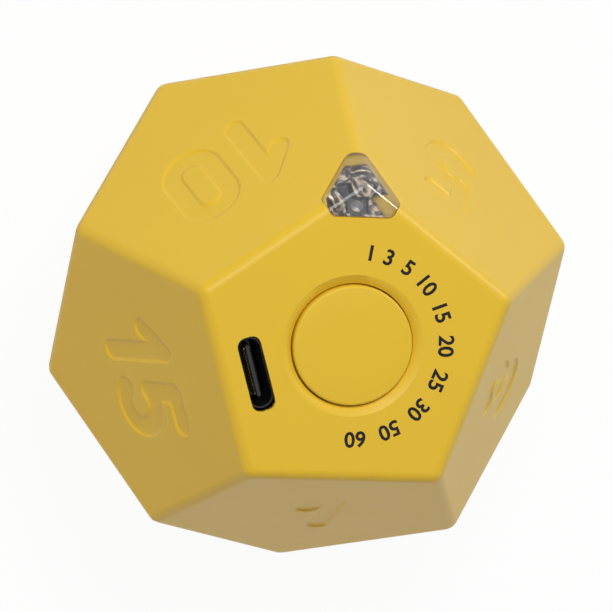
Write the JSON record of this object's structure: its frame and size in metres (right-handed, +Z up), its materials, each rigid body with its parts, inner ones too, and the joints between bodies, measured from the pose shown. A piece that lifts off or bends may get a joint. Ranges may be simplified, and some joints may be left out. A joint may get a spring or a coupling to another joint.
{
  "type": "flip timer",
  "caption": "Dodecahedral flip timer, set by turning the face with the wanted minutes up, with a push button, a charging socket and a clear signal window in one corner.",
  "frame": {"origin": "middle of the flat face that the timer rests on", "axes": "+Z up through the push button, +Y towards the signal window's corner"},
  "size_m": [0.0604, 0.0634, 0.052],
  "materials": {
    "body_plastic": "fine matte mustard yellow",
    "button_plastic": "fine matte mustard yellow",
    "clear_plastic": "clear polished plastic",
    "white_plastic": "matte white",
    "black_plastic": "matte black",
    "board_black": "satin black lacquer",
    "board_green": "green solder mask",
    "steel": "bright plated",
    "socket_metal": "black plated",
    "cell_foil": "satin silver foil",
    "foam": "matte foam",
    "lead_red": "satin",
    "lead_black": "satin"
  },
  "bodies": {
    "housing": {"upper_shell": "body_plastic", "lower_shell": "body_plastic", "window_lens": "clear_plastic", "light_holder": "black_plastic", "light_board": "board_black", "signal_light": "black_plastic", "light_lead_red": "lead_red", "light_lead_black": "lead_black", "main_board": "board_green", "board_screw_1": "steel", "board_screw_2": "steel", "board_screw_3": "steel", "board_screw_4": "steel", "socket_shell": "socket_metal", "socket_tongue": "black_plastic", "switch_base": "black_plastic", "switch_cover": "steel", "microcontroller": "black_plastic", "motion_sensor": "black_plastic", "charge_controller": "black_plastic", "crystal": "steel", "buzzer": "black_plastic", "battery_plug": "white_plastic", "battery_cell": "cell_foil", "battery_pad": "foam", "battery_lead_red": "lead_red", "battery_lead_black": "lead_black"},
    "button": {"button_cap": "button_plastic"},
    "plunger": {"switch_plunger": "black_plastic"}
  },
  "joints": [
    {"name": "button_press", "type": "slide", "parent": "housing", "child": "button", "axis": [0, 0, -1], "range_m": [0, 0.0004], "stiffness_N_per_m": 1500},
    {"name": "plunger_travel", "type": "slide", "parent": "housing", "child": "plunger", "axis": [0, 0, -1], "range_m": [0, 0.0004]}
  ],
  "couplings": [
    {"joint": "plunger_travel", "follows": "button_press", "ratio": 1}
  ]
}
